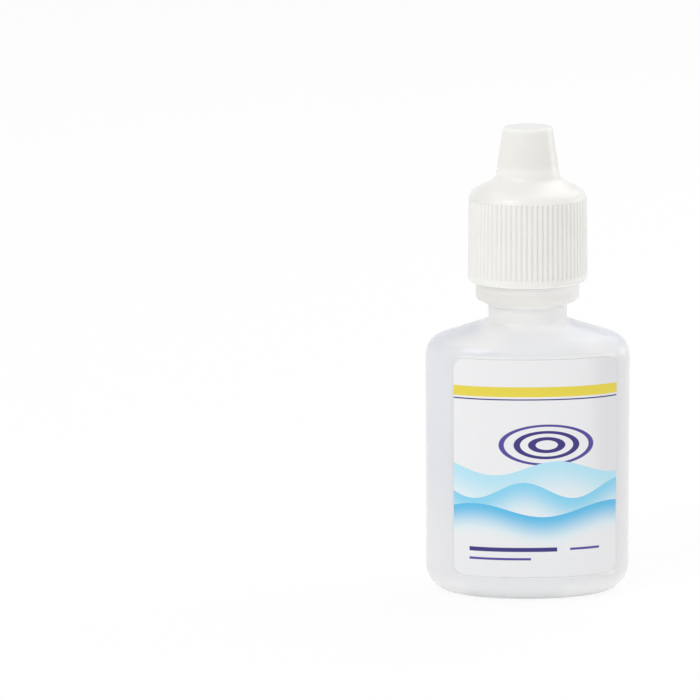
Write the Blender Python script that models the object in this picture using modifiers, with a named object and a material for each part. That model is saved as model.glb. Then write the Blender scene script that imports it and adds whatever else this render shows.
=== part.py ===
"""An oval squeeze bottle for eye drops: bottle, press-in dropper tip, screw cap and front label.

Metres, +Z up. The origin is the middle of the base, the front faces -Y, and the width lies along X.
The cap lifts off along Z, so its origin is on the neck's axis, at its lower rim.
"""

from math import asin, cos, pi, radians, sin, sqrt, tan

import bmesh
import bpy

MM = 0.001

# Bottle: the oval body
BODY_WIDTH = 34.4 * MM
BODY_DEPTH = 19.5 * MM
OVAL_POWER = 2.15
SIDE_WALL_TOP = 40.4 * MM
FRONT_WALL_RISE = 1.3 * MM
HEEL_SIDE_RADIUS = 4.6 * MM
HEEL_FRONT_RADIUS = 2.6 * MM
SHOULDER_RADIUS = 4.0 * MM
SHOULDER_SLOPE = radians(17)
WALL = 1.0 * MM
FOOT_WIDTH = 1.9 * MM
PUSH_UP_HEIGHT = 0.8 * MM
PUSH_UP_RUN = 0.9 * MM

# Bottle: neck, bead below the cap and finish inside the cap
BORE_RADIUS = 4.9 * MM
NECK_WALL = 1.7 * MM
NECK_LENGTH = 1.9 * MM
NECK_FILLET = 0.9 * MM
BEAD_REACH = 2.1 * MM
BEAD_HEIGHT = 3.75 * MM
BEAD_UNDER_SLOPE = radians(28)
BEAD_UNDER_EDGE = 0.5 * MM
BEAD_TOP_EDGE = 0.3 * MM
FINISH_WALL = 2.0 * MM
FINISH_HEIGHT = 13.1 * MM
LIP_EDGE = 0.35 * MM

# Dropper tip: plug in the neck, flange on the lip, nozzle above it
PRESS_GAP = 0.1 * MM
FLANGE_OVERLAP = 1.5 * MM
FLANGE_THICKNESS = 1.3 * MM
FLANGE_EDGE = 0.3 * MM
PLUG_LENGTH = 10.0 * MM
PLUG_WALL = 1.15 * MM
PLUG_LEAD = 0.7 * MM
SEAL_RIB_HEIGHT = 0.45 * MM
SEAL_RIB_WIDTH = 1.0 * MM
SEAL_RIB_COUNT = 2
NOZZLE_HEIGHT = 9.4 * MM
NOZZLE_BASE_RADIUS = 4.15 * MM
NOZZLE_TIP_RADIUS = 2.1 * MM
NOZZLE_FILLET = 0.5 * MM
NOZZLE_EDGE = 0.55 * MM
NOZZLE_WALL = 1.25 * MM
ORIFICE_RADIUS = 0.45 * MM
ORIFICE_LENGTH = 2.4 * MM
DROP_CUP_RADIUS = 1.1 * MM
DROP_CUP_DEPTH = 1.2 * MM

# Screw cap: ribbed skirt, domed shoulder and hollow nose over the nozzle
RIM_GAP = 0.3 * MM
THREAD_ROOM = 1.1 * MM
SKIRT_WALL = 1.85 * MM
SKIRT_FLARE = 0.2 * MM
RIM_EDGE = 0.5 * MM
MOUTH_CHAMFER = 0.5 * MM
BAND_HEIGHT = 1.1 * MM
RIB_COUNT = 70
RIB_DEPTH = 0.32 * MM
RIB_CREST_SHARE = 0.62
RIB_FOOT_SHARE = 0.8
RIB_SET_BACK = 0.06 * MM
RIB_RISE = 0.35 * MM
RIB_EMBED = 0.08 * MM
RIB_LEDGE_DROP = 0.12 * MM
SEAT_GAP = 0.3 * MM
SEAT_MARGIN = 0.7 * MM
CEILING_DROP = 1.4 * MM
ROOF = 1.85 * MM
CAP_SHOULDER_RADIUS = 2.2 * MM
CAP_SHOULDER_SLOPE = radians(27)
NOSE_BASE_GAP = 0.5 * MM
NOSE_TIP_GAP = 1.05 * MM
NOSE_WALL = 1.15 * MM
NOSE_FILLET = 1.4 * MM
NOSE_EDGE = 0.5 * MM
NOSE_HEADROOM = 1.05 * MM
NOSE_TOP_WALL = 1.25 * MM
PIN_RADIUS = 0.7 * MM
PIN_REACH = 0.75 * MM
PIN_EDGE = 0.25 * MM

# Front label
LABEL_SIDE_MARGIN = 3.6 * MM
LABEL_TOP_MARGIN = 0.4 * MM
LABEL_FOOT_MARGIN = 1.7 * MM
LABEL_SHIFT = 1.0 * MM
LABEL_CORNER = 1.8 * MM
LABEL_THICKNESS = 0.12 * MM
LABEL_GAP = 0.08 * MM

# Facets
OVAL_SEGMENTS = 56
TIP_SEGMENTS = 32
ARC_STEPS = 4
OUTER_ARC_STEPS = 7
INNER_ARC_STEPS = 4
SMALL_ARC_STEPS = 3
EDGE_ARC_STEPS = 2
LABEL_COLUMNS = 16
CORNER_COLUMNS = 4
OVERRUN = 0.25 * MM
MERGE = 0.001 * MM

# Places that follow from the sizes
HALF_WIDTH = BODY_WIDTH / 2
HALF_DEPTH = BODY_DEPTH / 2
FRONT_WALL_TOP = SIDE_WALL_TOP + FRONT_WALL_RISE
NECK_RADIUS = BORE_RADIUS + NECK_WALL
BEAD_RADIUS = NECK_RADIUS + BEAD_REACH
FINISH_RADIUS = BORE_RADIUS + FINISH_WALL
SHOULDER_TOP_HALF = HALF_WIDTH - SHOULDER_RADIUS * (1 - sin(SHOULDER_SLOPE))
SHOULDER_TOP = SIDE_WALL_TOP + SHOULDER_RADIUS * cos(SHOULDER_SLOPE)
FILLET_HALF = NECK_RADIUS + NECK_FILLET
NECK_BOTTOM = (
    SHOULDER_TOP + (SHOULDER_TOP_HALF - FILLET_HALF) * tan(SHOULDER_SLOPE) + NECK_FILLET / cos(SHOULDER_SLOPE)
)
BEAD_BOTTOM = NECK_BOTTOM + NECK_LENGTH
BEAD_TOP = BEAD_BOTTOM + BEAD_HEIGHT
LIP = BEAD_TOP + FINISH_HEIGHT
FLANGE_BOTTOM = LIP + PRESS_GAP
FLANGE_TOP = FLANGE_BOTTOM + FLANGE_THICKNESS
NOZZLE_TOP = FLANGE_TOP + NOZZLE_HEIGHT
CAP_BOTTOM = BEAD_TOP + RIM_GAP
SEAT = FLANGE_TOP + SEAT_GAP
NOSE_INNER_TOP = NOZZLE_TOP + NOSE_HEADROOM
CAP_TOP = NOSE_INNER_TOP + NOSE_TOP_WALL
FLANGE_RADIUS = BORE_RADIUS + FLANGE_OVERLAP
CAP_BORE = FINISH_RADIUS + THREAD_ROOM
SKIRT_TOP_RADIUS = CAP_BORE + SKIRT_WALL
SKIRT_RIM_RADIUS = SKIRT_TOP_RADIUS + SKIRT_FLARE
LABEL_WIDTH = BODY_WIDTH - 2 * LABEL_SIDE_MARGIN
LABEL_BOTTOM = HEEL_FRONT_RADIUS + LABEL_FOOT_MARGIN
LABEL_TOP = FRONT_WALL_TOP - LABEL_TOP_MARGIN


def arc(centre, radius, start, end, steps=ARC_STEPS):
    """Points (across, up) on an arc round centre, from one angle in degrees to another, both ends included."""
    turns = [radians(start + (end - start) * step / steps) for step in range(steps + 1)]
    return [(centre[0] + radius * cos(turn), centre[1] + radius * sin(turn)) for turn in turns]


def material(name, colour, roughness, metallic=0.0):
    """A Principled material with the part's colour."""
    made = bpy.data.materials.new(name)
    made.use_nodes = True
    shader = made.node_tree.nodes["Principled BSDF"]
    shader.inputs["Base Color"].default_value = (*colour, 1.0)
    shader.inputs["Roughness"].default_value = roughness
    shader.inputs["Metallic"].default_value = metallic
    return made


def new_object(name, mesh, collection, finish=None):
    """An object of this mesh, in this collection, with this finish."""
    made = bpy.data.objects.new(name, mesh)
    collection.objects.link(made)
    if finish:
        mesh.materials.append(finish)
    return made


def turned(name, profile, segments, collection, finish=None, closed=False, height=0.0):
    """A profile of (radius, height) points turned about Z by a Screw modifier, its origin at this height."""
    mesh = bpy.data.meshes.new(name)
    points = [(radius, 0.0, up - height) for radius, up in profile]
    edges = [(i, i + 1) for i in range(len(points) - 1)]
    if closed:
        edges.append((len(points) - 1, 0))
    mesh.from_pydata(points, edges, [])
    made = new_object(name, mesh, collection, finish)
    made.location.z = height
    screw = made.modifiers.new("Turn", "SCREW")
    screw.steps = segments
    screw.render_steps = segments
    screw.use_merge_vertices = True
    screw.merge_threshold = MERGE
    screw.use_smooth_shade = True
    return made


def oval_power(half_width, half_depth):
    """A circle's power on the neck, rising to the body's squarer oval as the section widens."""
    widening = (half_width - half_depth) / (HALF_WIDTH - HALF_DEPTH)
    return 2 + (OVAL_POWER - 2) * min(max(widening, 0), 1)


def oval_ring(half_width, half_depth, height):
    """One section of the bottle: |x / half width| ^ power + |y / half depth| ^ power = 1."""
    share = 2 / oval_power(half_width, half_depth)
    ring = []
    for step in range(OVAL_SEGMENTS):
        turn = 2 * pi * step / OVAL_SEGMENTS
        across, along = cos(turn), sin(turn)
        x = half_width * abs(across) ** share * (1 if across > 0 else -1)
        y = half_depth * abs(along) ** share * (1 if along > 0 else -1)
        ring.append((x, y, height))
    return ring


def loft(name, rings, first_pole, last_pole):
    """A closed mesh through a list of rings, with each end closed to a pole on the axis."""
    form = bmesh.new()
    loops = [[form.verts.new(point) for point in ring] for ring in rings]
    poles = [form.verts.new((0, 0, height)) for height in (first_pole, last_pole)]
    for lower, upper in zip(loops, loops[1:]):
        for i, j in zip(range(OVAL_SEGMENTS), [*range(1, OVAL_SEGMENTS), 0]):
            form.faces.new((lower[i], lower[j], upper[j], upper[i]))
    for loop, pole in zip((loops[0], loops[-1]), poles):
        for i, j in zip(range(OVAL_SEGMENTS), [*range(1, OVAL_SEGMENTS), 0]):
            form.faces.new((loop[i], pole, loop[j]))
    bmesh.ops.recalc_face_normals(form, faces=form.faces)
    mesh = bpy.data.meshes.new(name)
    form.to_mesh(mesh)
    form.free()
    mesh.shade_smooth()
    mesh.set_sharp_from_angle(angle=radians(30))
    return mesh


def heel_half_depth(height, inset):
    """Half the depth at a height in the heel, whose front corner is tighter than its side corner."""
    if height >= HEEL_FRONT_RADIUS:
        return HALF_DEPTH - inset
    drop = min(HEEL_FRONT_RADIUS - height, HEEL_FRONT_RADIUS - inset)
    return HALF_DEPTH - HEEL_FRONT_RADIUS + sqrt((HEEL_FRONT_RADIUS - inset) ** 2 - drop**2)


def shoulder_half_depth(height, wall_half, neck_half, neck_height):
    """Half the depth on the shoulder: half a cosine wave from the front wall in to the neck."""
    share = (neck_height - height) / (neck_height - FRONT_WALL_TOP)
    share = min(max(share, 0), 1)
    return neck_half + (wall_half - neck_half) * (1 - cos(pi * share)) / 2


def bottle_side(inset, neck_half):
    """The wall from foot to neck, seen from the front: (half width, half depth, height), inset by the wall."""
    steps = INNER_ARC_STEPS if inset else OUTER_ARC_STEPS
    heel_centre = (HALF_WIDTH - HEEL_SIDE_RADIUS, HEEL_SIDE_RADIUS)
    side = arc(heel_centre, HEEL_SIDE_RADIUS - inset, -90, 0, steps)
    rings = [(across, heel_half_depth(up, inset), up) for across, up in side]
    corner_centre = (HALF_WIDTH - SHOULDER_RADIUS, SIDE_WALL_TOP)
    corner_end = 90 - SHOULDER_SLOPE * 180 / pi
    corner = arc(corner_centre, SHOULDER_RADIUS - inset, 0, corner_end, steps)
    end_half, end_height = corner[-1]
    if inset:
        root = [(neck_half, end_height + (end_half - neck_half) * tan(SHOULDER_SLOPE))]
    else:
        root = arc((FILLET_HALF, NECK_BOTTOM), NECK_FILLET, 180 + corner_end, 180)
    slope = []
    for step in range(1, steps):
        share = step / steps
        slope.append(
            (end_half + (root[0][0] - end_half) * share, end_height + (root[0][1] - end_height) * share)
        )
    top = root[-1][1]
    for across, up in corner + slope + root:
        half = shoulder_half_depth(up, HALF_DEPTH - inset, neck_half, top)
        rings.append((across, min(half, max(across, neck_half)), up))
    return rings


def bead_profile():
    """The neck from its root over the bead to the lip and into the bore: (radius, height)."""
    taper_run = BEAD_RADIUS - BEAD_UNDER_EDGE - NECK_RADIUS
    taper_end = BEAD_BOTTOM + taper_run * tan(BEAD_UNDER_SLOPE)
    under_edge = (BEAD_RADIUS - BEAD_UNDER_EDGE, taper_end + BEAD_UNDER_EDGE)
    top_edge = (BEAD_RADIUS - BEAD_TOP_EDGE, BEAD_TOP - BEAD_TOP_EDGE)
    lip_edge = (FINISH_RADIUS - LIP_EDGE, LIP - LIP_EDGE)
    bore_edge = (BORE_RADIUS + LIP_EDGE, LIP - LIP_EDGE)
    return [
        (NECK_RADIUS, BEAD_BOTTOM),
        *arc(under_edge, BEAD_UNDER_EDGE, -90 + BEAD_UNDER_SLOPE * 180 / pi, 0, SMALL_ARC_STEPS),
        *arc(top_edge, BEAD_TOP_EDGE, 0, 90, SMALL_ARC_STEPS),
        (FINISH_RADIUS, BEAD_TOP),
        *arc(lip_edge, LIP_EDGE, 0, 90, EDGE_ARC_STEPS),
        *arc(bore_edge, LIP_EDGE, 90, 180, EDGE_ARC_STEPS),
    ]


def base_rings(inset):
    """The foot and the push-up in the base, from the middle outwards, inset by the wall."""
    foot_half = HALF_WIDTH - HEEL_SIDE_RADIUS
    foot_depth = HALF_DEPTH - HEEL_FRONT_RADIUS
    ring_inner = (foot_half - FOOT_WIDTH, foot_depth - FOOT_WIDTH)
    panel = (ring_inner[0] - PUSH_UP_RUN, ring_inner[1] - PUSH_UP_RUN)
    return [(*panel, PUSH_UP_HEIGHT + inset), (*ring_inner, inset)]


def make_bottle(collection, finish):
    """Outside from the base up to the lip, then inside from the bore down to the base, as one closed shell."""
    outside = base_rings(0) + bottle_side(0, NECK_RADIUS)
    neck = [(radius, radius, up) for radius, up in bead_profile()]
    inside = bottle_side(WALL, BORE_RADIUS)[::-1] + base_rings(WALL)[::-1]
    rings = [oval_ring(*ring) for ring in outside + neck + inside]
    mesh = loft("bottle_body", rings, PUSH_UP_HEIGHT, PUSH_UP_HEIGHT + WALL)
    return new_object("bottle_body", mesh, collection, finish)


def seal_ribs(barrel):
    """Rounded ribs down the plug, which grip the neck's bore: (radius, height), top to bottom."""
    crest = BORE_RADIUS - PRESS_GAP
    spacing = (PLUG_LENGTH - PLUG_LEAD) / (SEAL_RIB_COUNT + 1)
    points = []
    for rib in range(SEAL_RIB_COUNT):
        middle = LIP - spacing * (rib + 1)
        points += [
            (barrel, middle + SEAL_RIB_WIDTH / 2),
            (crest, middle + SEAL_RIB_WIDTH / 4),
            (crest, middle - SEAL_RIB_WIDTH / 4),
            (barrel, middle - SEAL_RIB_WIDTH / 2),
        ]
    return points


def make_dropper_tip(collection, finish):
    """Nozzle, flange and ribbed plug outside, and the way for the drop inside, as one turned tube."""
    barrel = BORE_RADIUS - PRESS_GAP - SEAL_RIB_HEIGHT
    plug_bottom = LIP - PLUG_LENGTH
    bore = barrel - PLUG_WALL
    slant = asin((NOZZLE_BASE_RADIUS - NOZZLE_TIP_RADIUS) / NOZZLE_HEIGHT) * 180 / pi
    tip_edge = (NOZZLE_TIP_RADIUS - NOZZLE_EDGE, NOZZLE_TOP - NOZZLE_EDGE)
    flange_edge = (FLANGE_RADIUS - FLANGE_EDGE, FLANGE_TOP - FLANGE_EDGE)
    fillet = (NOZZLE_BASE_RADIUS + NOZZLE_FILLET, FLANGE_TOP + NOZZLE_FILLET)
    cup_bottom = NOZZLE_TOP - DROP_CUP_DEPTH
    outside = [
        *arc(tip_edge, NOZZLE_EDGE, 90, slant),
        *arc(fillet, NOZZLE_FILLET, 180, 270, SMALL_ARC_STEPS),
        *arc(flange_edge, FLANGE_EDGE, 90, 0, EDGE_ARC_STEPS),
        (FLANGE_RADIUS, FLANGE_BOTTOM),
        (barrel, FLANGE_BOTTOM),
        *seal_ribs(barrel),
        (barrel, plug_bottom + PLUG_LEAD),
        (barrel - PLUG_LEAD / 2, plug_bottom),
    ]
    inside = [
        (bore, plug_bottom),
        (bore, FLANGE_BOTTOM),
        (NOZZLE_BASE_RADIUS - NOZZLE_WALL, FLANGE_TOP),
        (ORIFICE_RADIUS, cup_bottom - ORIFICE_LENGTH),
        (ORIFICE_RADIUS, cup_bottom),
        (DROP_CUP_RADIUS * cos(pi / 6), cup_bottom),
        (DROP_CUP_RADIUS, NOZZLE_TOP),
    ]
    return turned("dropper_tip", outside + inside, TIP_SEGMENTS, collection, finish, closed=True)


def skirt_radius(height):
    """The skirt's outer radius, which flares a little from its shoulder down to its rim."""
    share = (height - CAP_BOTTOM) / (cap_shoulder_bottom() - CAP_BOTTOM)
    return SKIRT_RIM_RADIUS - SKIRT_FLARE * share


def seat_rim():
    """The radius where the flat sealing seat ends inside the cap."""
    return FLANGE_RADIUS + SEAT_MARGIN


def cap_shoulder_bottom():
    """The height where the skirt ends, set by the roof's thickness over the rim of the seat."""
    end_radius = SKIRT_TOP_RADIUS - CAP_SHOULDER_RADIUS * (1 - sin(CAP_SHOULDER_SLOPE))
    rise = CAP_SHOULDER_RADIUS * cos(CAP_SHOULDER_SLOPE)
    return SEAT + ROOF - rise - (end_radius - seat_rim()) * tan(CAP_SHOULDER_SLOPE)


def nose_inner_radius(height):
    """The nose's inner radius, tapering from the seat to its top."""
    share = (height - SEAT) / (NOSE_INNER_TOP - SEAT)
    base, tip = NOZZLE_BASE_RADIUS + NOSE_BASE_GAP, NOZZLE_TIP_RADIUS + NOSE_TIP_GAP
    return base + (tip - base) * share


def cap_outline():
    """The cap's outside from the top of the nose down to the rim, as (radius, height)."""
    slope = CAP_SHOULDER_SLOPE
    bottom = cap_shoulder_bottom()
    dome_centre = (SKIRT_TOP_RADIUS - CAP_SHOULDER_RADIUS, bottom)
    dome_end = asin(RIB_RISE / CAP_SHOULDER_RADIUS) * 180 / pi
    dome = arc(dome_centre, CAP_SHOULDER_RADIUS, 90 - slope * 180 / pi, dome_end, OUTER_ARC_STEPS)
    taper = (nose_inner_radius(SEAT) - nose_inner_radius(NOSE_INNER_TOP)) / (NOSE_INNER_TOP - SEAT)
    fillet_radius = nose_inner_radius(dome[0][1]) + NOSE_WALL + NOSE_FILLET
    line_height = dome[0][1] + (dome[0][0] - fillet_radius) * tan(slope)
    fillet_centre = (fillet_radius, line_height + NOSE_FILLET / cos(slope))
    fillet = arc(fillet_centre, NOSE_FILLET, 180, 270 - slope * 180 / pi)
    top_radius = nose_inner_radius(NOSE_INNER_TOP) + NOSE_WALL - taper * (NOSE_TOP_WALL - NOSE_EDGE)
    edge_centre = (top_radius - NOSE_EDGE, CAP_TOP - NOSE_EDGE)
    return [(0.0, CAP_TOP), *arc(edge_centre, NOSE_EDGE, 90, 0), *fillet, *dome]


def cap_skirt():
    """The skirt's outside, set in to the ribs' roots from the dome's ledge down to the plain band at the rim."""
    ledge = cap_shoulder_bottom() + RIB_RISE
    lower_band = CAP_BOTTOM + BAND_HEIGHT
    rim_centre = (SKIRT_RIM_RADIUS - RIM_EDGE, CAP_BOTTOM + RIM_EDGE)
    return [
        (skirt_radius(ledge) - RIB_DEPTH, ledge - RIB_LEDGE_DROP),
        (skirt_radius(lower_band) - RIB_DEPTH, lower_band + RIB_DEPTH),
        (skirt_radius(lower_band), lower_band),
        *arc(rim_centre, RIM_EDGE, 0, -90, EDGE_ARC_STEPS),
    ]


def cap_inside():
    """The cap's inside from the mouth up to the seat, the nose and the pin that closes the orifice."""
    pin_bottom = NOZZLE_TOP - PIN_REACH
    return [
        (CAP_BORE + MOUTH_CHAMFER, CAP_BOTTOM),
        (CAP_BORE, CAP_BOTTOM + MOUTH_CHAMFER),
        (CAP_BORE, SEAT - CEILING_DROP),
        (seat_rim(), SEAT),
        (nose_inner_radius(SEAT), SEAT),
        (nose_inner_radius(NOSE_INNER_TOP), NOSE_INNER_TOP),
        (PIN_RADIUS + PIN_EDGE, NOSE_INNER_TOP),
        (PIN_RADIUS, NOSE_INNER_TOP - PIN_EDGE),
        (PIN_RADIUS, pin_bottom + PIN_EDGE),
        (PIN_RADIUS - PIN_EDGE, pin_bottom),
        (0.0, pin_bottom),
    ]


def rib_outline(height, root):
    """A ring of flat-topped ribs at one height: each rib has two crest points and two foot points."""
    crest = skirt_radius(height) - RIB_SET_BACK
    pitch = 2 * pi / RIB_COUNT
    ring = []
    for rib in range(RIB_COUNT):
        middle = pitch * rib
        for radius, share in (
            (root, -RIB_FOOT_SHARE),
            (crest, -RIB_CREST_SHARE),
            (crest, RIB_CREST_SHARE),
            (root, RIB_FOOT_SHARE),
        ):
            turn = middle + share * pitch / 2
            ring.append((radius * cos(turn), radius * sin(turn), height - CAP_BOTTOM))
    return ring


def make_rib_ring(collection):
    """The ribs with a plain ring behind them, which lies inside the skirt's wall where the two are joined."""
    bottom = CAP_BOTTOM + BAND_HEIGHT - OVERRUN
    top = cap_shoulder_bottom() + RIB_RISE + RIB_EMBED
    root = SKIRT_TOP_RADIUS - RIB_DEPTH - OVERRUN
    inner = (CAP_BORE + root) / 2
    form = bmesh.new()
    rings = []
    for height in (bottom, top):
        outline = rib_outline(height, root)
        rings.append([form.verts.new(point) for point in outline])
        scale = [inner / sqrt(x * x + y * y) for x, y, _ in outline]
        rings.append(
            [form.verts.new((x * s, y * s, up)) for (x, y, up), s in zip(outline, scale)]
        )
    low_outer, low_inner, high_outer, high_inner = rings
    count = len(low_outer)
    walls = [(low_outer, high_outer), (high_outer, high_inner), (high_inner, low_inner), (low_inner, low_outer)]
    for first, second in walls:
        for i, j in zip(range(count), [*range(1, count), 0]):
            form.faces.new((first[i], first[j], second[j], second[i]))
    bmesh.ops.recalc_face_normals(form, faces=form.faces)
    mesh = bpy.data.meshes.new("rib_ring")
    form.to_mesh(mesh)
    form.free()
    ring = new_object("rib_ring", mesh, collection)
    ring.location.z = CAP_BOTTOM
    ring.hide_render = True
    ring.display_type = "WIRE"
    return ring


def make_screw_cap(collection, helpers, finish):
    """The turned cap with its ribs joined on."""
    profile = cap_outline() + cap_skirt() + cap_inside()
    cap = turned("screw_cap", profile, RIB_COUNT, collection, finish, height=CAP_BOTTOM)
    ribs = cap.modifiers.new("Ribs", "BOOLEAN")
    ribs.operation = "UNION"
    ribs.object = make_rib_ring(helpers)
    return cap


def label_point(across, height):
    """A point on the front wall, moved out by the label's gap along the wall's normal."""
    power = oval_power(HALF_WIDTH, HALF_DEPTH)
    wide = abs(across) / HALF_WIDTH
    deep = (1 - wide**power) ** (1 / power)
    slope_x = wide ** (power - 1) / HALF_WIDTH * (1 if across > 0 else -1)
    slope_y = -(deep ** (power - 1)) / HALF_DEPTH
    length = sqrt(slope_x**2 + slope_y**2)
    x = across + LABEL_GAP * slope_x / length
    y = -deep * HALF_DEPTH + LABEL_GAP * slope_y / length
    return (x, y, height)


def make_label(collection, finish):
    """A rounded rectangle of film bent round the front wall, a little to the right of its middle.

    It is two rows of points and the faces between them, and Solidify gives the film its thickness.
    """
    plain_half = LABEL_WIDTH / 2 - LABEL_CORNER
    columns = [LABEL_CORNER * cos(radians(90 * i / CORNER_COLUMNS)) for i in range(CORNER_COLUMNS + 1)]
    right = [plain_half + run for run in columns[::-1]]
    middle = [-plain_half + 2 * plain_half * i / LABEL_COLUMNS for i in range(1, LABEL_COLUMNS)]
    stations = [-x for x in right[::-1]] + middle + right
    form = bmesh.new()
    low, high = [], []
    for x in stations:
        past = max(abs(x) - plain_half, 0)
        cut = LABEL_CORNER - sqrt(max(LABEL_CORNER**2 - past**2, 0))
        low.append(form.verts.new(label_point(x + LABEL_SHIFT, LABEL_BOTTOM + cut)))
        high.append(form.verts.new(label_point(x + LABEL_SHIFT, LABEL_TOP - cut)))
    for i in range(len(stations) - 1):
        form.faces.new((low[i], low[i + 1], high[i + 1], high[i]))
    mesh = bpy.data.meshes.new("front_label")
    form.to_mesh(mesh)
    form.free()
    label = new_object("front_label", mesh, collection, finish)
    film = label.modifiers.new("Film", "SOLIDIFY")
    film.thickness = LABEL_THICKNESS
    film.offset = 1.0
    film.use_even_offset = True
    return label


def clear_scene():
    for old in list(bpy.data.objects):
        bpy.data.objects.remove(old, do_unlink=True)


def main():
    clear_scene()
    parts = bpy.data.collections.new("eye_drop_bottle")
    helpers = bpy.data.collections.new("cutters")
    for collection in (parts, helpers):
        bpy.context.scene.collection.children.link(collection)
    milky = material("milky_polyethylene", (0.80, 0.82, 0.84), 0.4)
    natural = material("natural_polyethylene", (0.85, 0.86, 0.86), 0.35)
    white = material("white_polypropylene", (0.86, 0.85, 0.81), 0.35)
    film = material("label_film", (0.87, 0.87, 0.89), 0.3)
    make_bottle(parts, milky)
    make_dropper_tip(parts, natural)
    make_screw_cap(parts, helpers, white)
    make_label(parts, film)


main()
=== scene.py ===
"""The looks of an oval squeeze bottle for eye drops: cloudy bottle, dropper tip, ribbed cap and label.

Metres, +Z up, the front faces -Y. Lengths are named in millimetres times MM.
"""

import bpy
import numpy as np
from mathutils import Matrix, Vector


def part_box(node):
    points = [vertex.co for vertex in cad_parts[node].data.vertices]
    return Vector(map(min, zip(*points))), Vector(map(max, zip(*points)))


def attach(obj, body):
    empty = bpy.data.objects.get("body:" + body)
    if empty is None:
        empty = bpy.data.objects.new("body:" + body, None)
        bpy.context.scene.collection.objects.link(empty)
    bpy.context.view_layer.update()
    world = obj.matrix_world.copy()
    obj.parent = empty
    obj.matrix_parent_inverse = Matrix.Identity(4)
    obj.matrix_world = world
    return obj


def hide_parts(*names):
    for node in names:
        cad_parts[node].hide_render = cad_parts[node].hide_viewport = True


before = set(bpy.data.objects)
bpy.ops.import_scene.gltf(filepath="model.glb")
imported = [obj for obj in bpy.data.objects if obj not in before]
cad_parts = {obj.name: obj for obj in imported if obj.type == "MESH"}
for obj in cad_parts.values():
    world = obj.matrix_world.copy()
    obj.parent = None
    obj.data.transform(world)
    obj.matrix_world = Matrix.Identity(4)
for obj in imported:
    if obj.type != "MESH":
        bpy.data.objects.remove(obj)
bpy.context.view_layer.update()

MM = 0.001

# Sizes that the frame gives
body_low, body_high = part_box("bottle_body")
tip_low, tip_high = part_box("dropper_tip")
cap_low, cap_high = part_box("screw_cap")
label_low, label_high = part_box("front_label")
HALF_WIDTH, HALF_DEPTH, LIP = body_high
PLUG_BOTTOM, NOZZLE_TOP = tip_low.z, tip_high.z
FLANGE_RADIUS = tip_high.x
CAP_BOTTOM, CAP_TOP = cap_low.z, cap_high.z
SKIRT_RIM_RADIUS = cap_high.y

# Bottle
OVAL_POWER = 2.15
SIDE_WALL_TOP = 40.4 * MM
FRONT_WALL_TOP = 41.7 * MM
HEEL_SIDE_RADIUS = 4.6 * MM
HEEL_FRONT_RADIUS = 2.6 * MM
SHOULDER_RADIUS = 4.0 * MM
SHOULDER_SLOPE = np.radians(17)
WALL = 1.0 * MM
FOOT_WIDTH = 1.9 * MM
PUSH_UP_HEIGHT = 0.8 * MM
PUSH_UP_RUN = 0.9 * MM
FOOT_EDGE = 0.4 * MM
BORE_RADIUS = 4.9 * MM
NECK_RADIUS = 6.6 * MM
NECK_FILLET = 0.9 * MM
BEAD_RADIUS = 8.7 * MM
BEAD_HEIGHT = 3.93 * MM
BEAD_SLOPE = np.radians(28)
BEAD_UNDER_EDGE = 0.5 * MM
BEAD_TOP_EDGE = 0.15 * MM
FINISH_RADIUS = 6.9 * MM
FINISH_HEIGHT = 13.1 * MM
LIP_EDGE = 0.35 * MM
RIM_SEAT = 0.18 * MM  # how far the bead's top rises into the gap under the cap's rim
BEAD_TOP = LIP - FINISH_HEIGHT + RIM_SEAT
BEAD_BOTTOM = BEAD_TOP - BEAD_HEIGHT
BASE_POLE_RING = 0.4 * MM

# The blown wall's unevenness: waves as (size, turn, climb, phase), and where they start, end and fade
WALL_WAVE = 0.02 * MM
WAVES = ((1.0, 3, 4, 0.0), (0.7, 5, -7, 1.3), (0.5, 0, 11, 0.0))
WAVE_START, WAVE_END, WAVE_FADE = 0.08, 0.97, 0.15

# Dropper tip
BARREL_RADIUS = 4.35 * MM
PLUG_BORE = 3.2 * MM
PLUG_LEAD = 0.7 * MM
SEAL_CREST = 4.8 * MM
SEAL_RIB_WIDTH = 1.0 * MM
SEAL_RIB_COUNT = 2
FLANGE_BOTTOM = LIP + 0.1 * MM
FLANGE_TOP = FLANGE_BOTTOM + 1.3 * MM
NOZZLE_BASE_RADIUS = 4.15 * MM
NOZZLE_TIP_RADIUS = 2.1 * MM
NOZZLE_WALL = 1.25 * MM
ORIFICE_RADIUS = 0.45 * MM
ORIFICE_LENGTH = 2.4 * MM
DROP_CUP_RADIUS = 1.1 * MM
DROP_CUP_DEPTH = 1.2 * MM
DROP_CUP_FLOOR = DROP_CUP_RADIUS * np.cos(np.pi / 6)

# Cap
CAP_BORE = 8.0 * MM
SKIRT_TOP_RADIUS = 9.85 * MM
RIM_EDGE = 0.5 * MM
BAND_HEIGHT = 1.1 * MM
RIB_COUNT = 70
RIB_DEPTH = 0.22 * MM
RIB_RUN_OUT = 0.3 * MM
RIB_RISE = 0.35 * MM
RIB_LEDGE = 0.12 * MM
RIB_HALF_CREST = 0.27  # of the ribs' pitch
RIB_FLANK = 0.16  # of the ribs' pitch
SEAT = FLANGE_TOP + 0.3 * MM
SEAT_RIM = 7.1 * MM
CEILING_DROP = 1.4 * MM
CAP_SHOULDER_RADIUS = 2.2 * MM
CAP_SHOULDER_SLOPE = np.radians(27)
ROOF = 1.85 * MM
NOSE_INNER_BASE = 4.65 * MM
NOSE_INNER_TIP = 3.15 * MM
NOSE_INNER_TOP = NOZZLE_TOP + 1.05 * MM
NOSE_WALL = 1.15 * MM
NOSE_FILLET = 1.4 * MM
NOSE_EDGE = 0.5 * MM
PIN_RADIUS = 0.7 * MM
PIN_REACH = 0.75 * MM
PIN_POLE_RING = 0.1 * MM
NOSE_POLE_RING = 0.3 * MM
EDGE = 0.3 * MM

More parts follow.
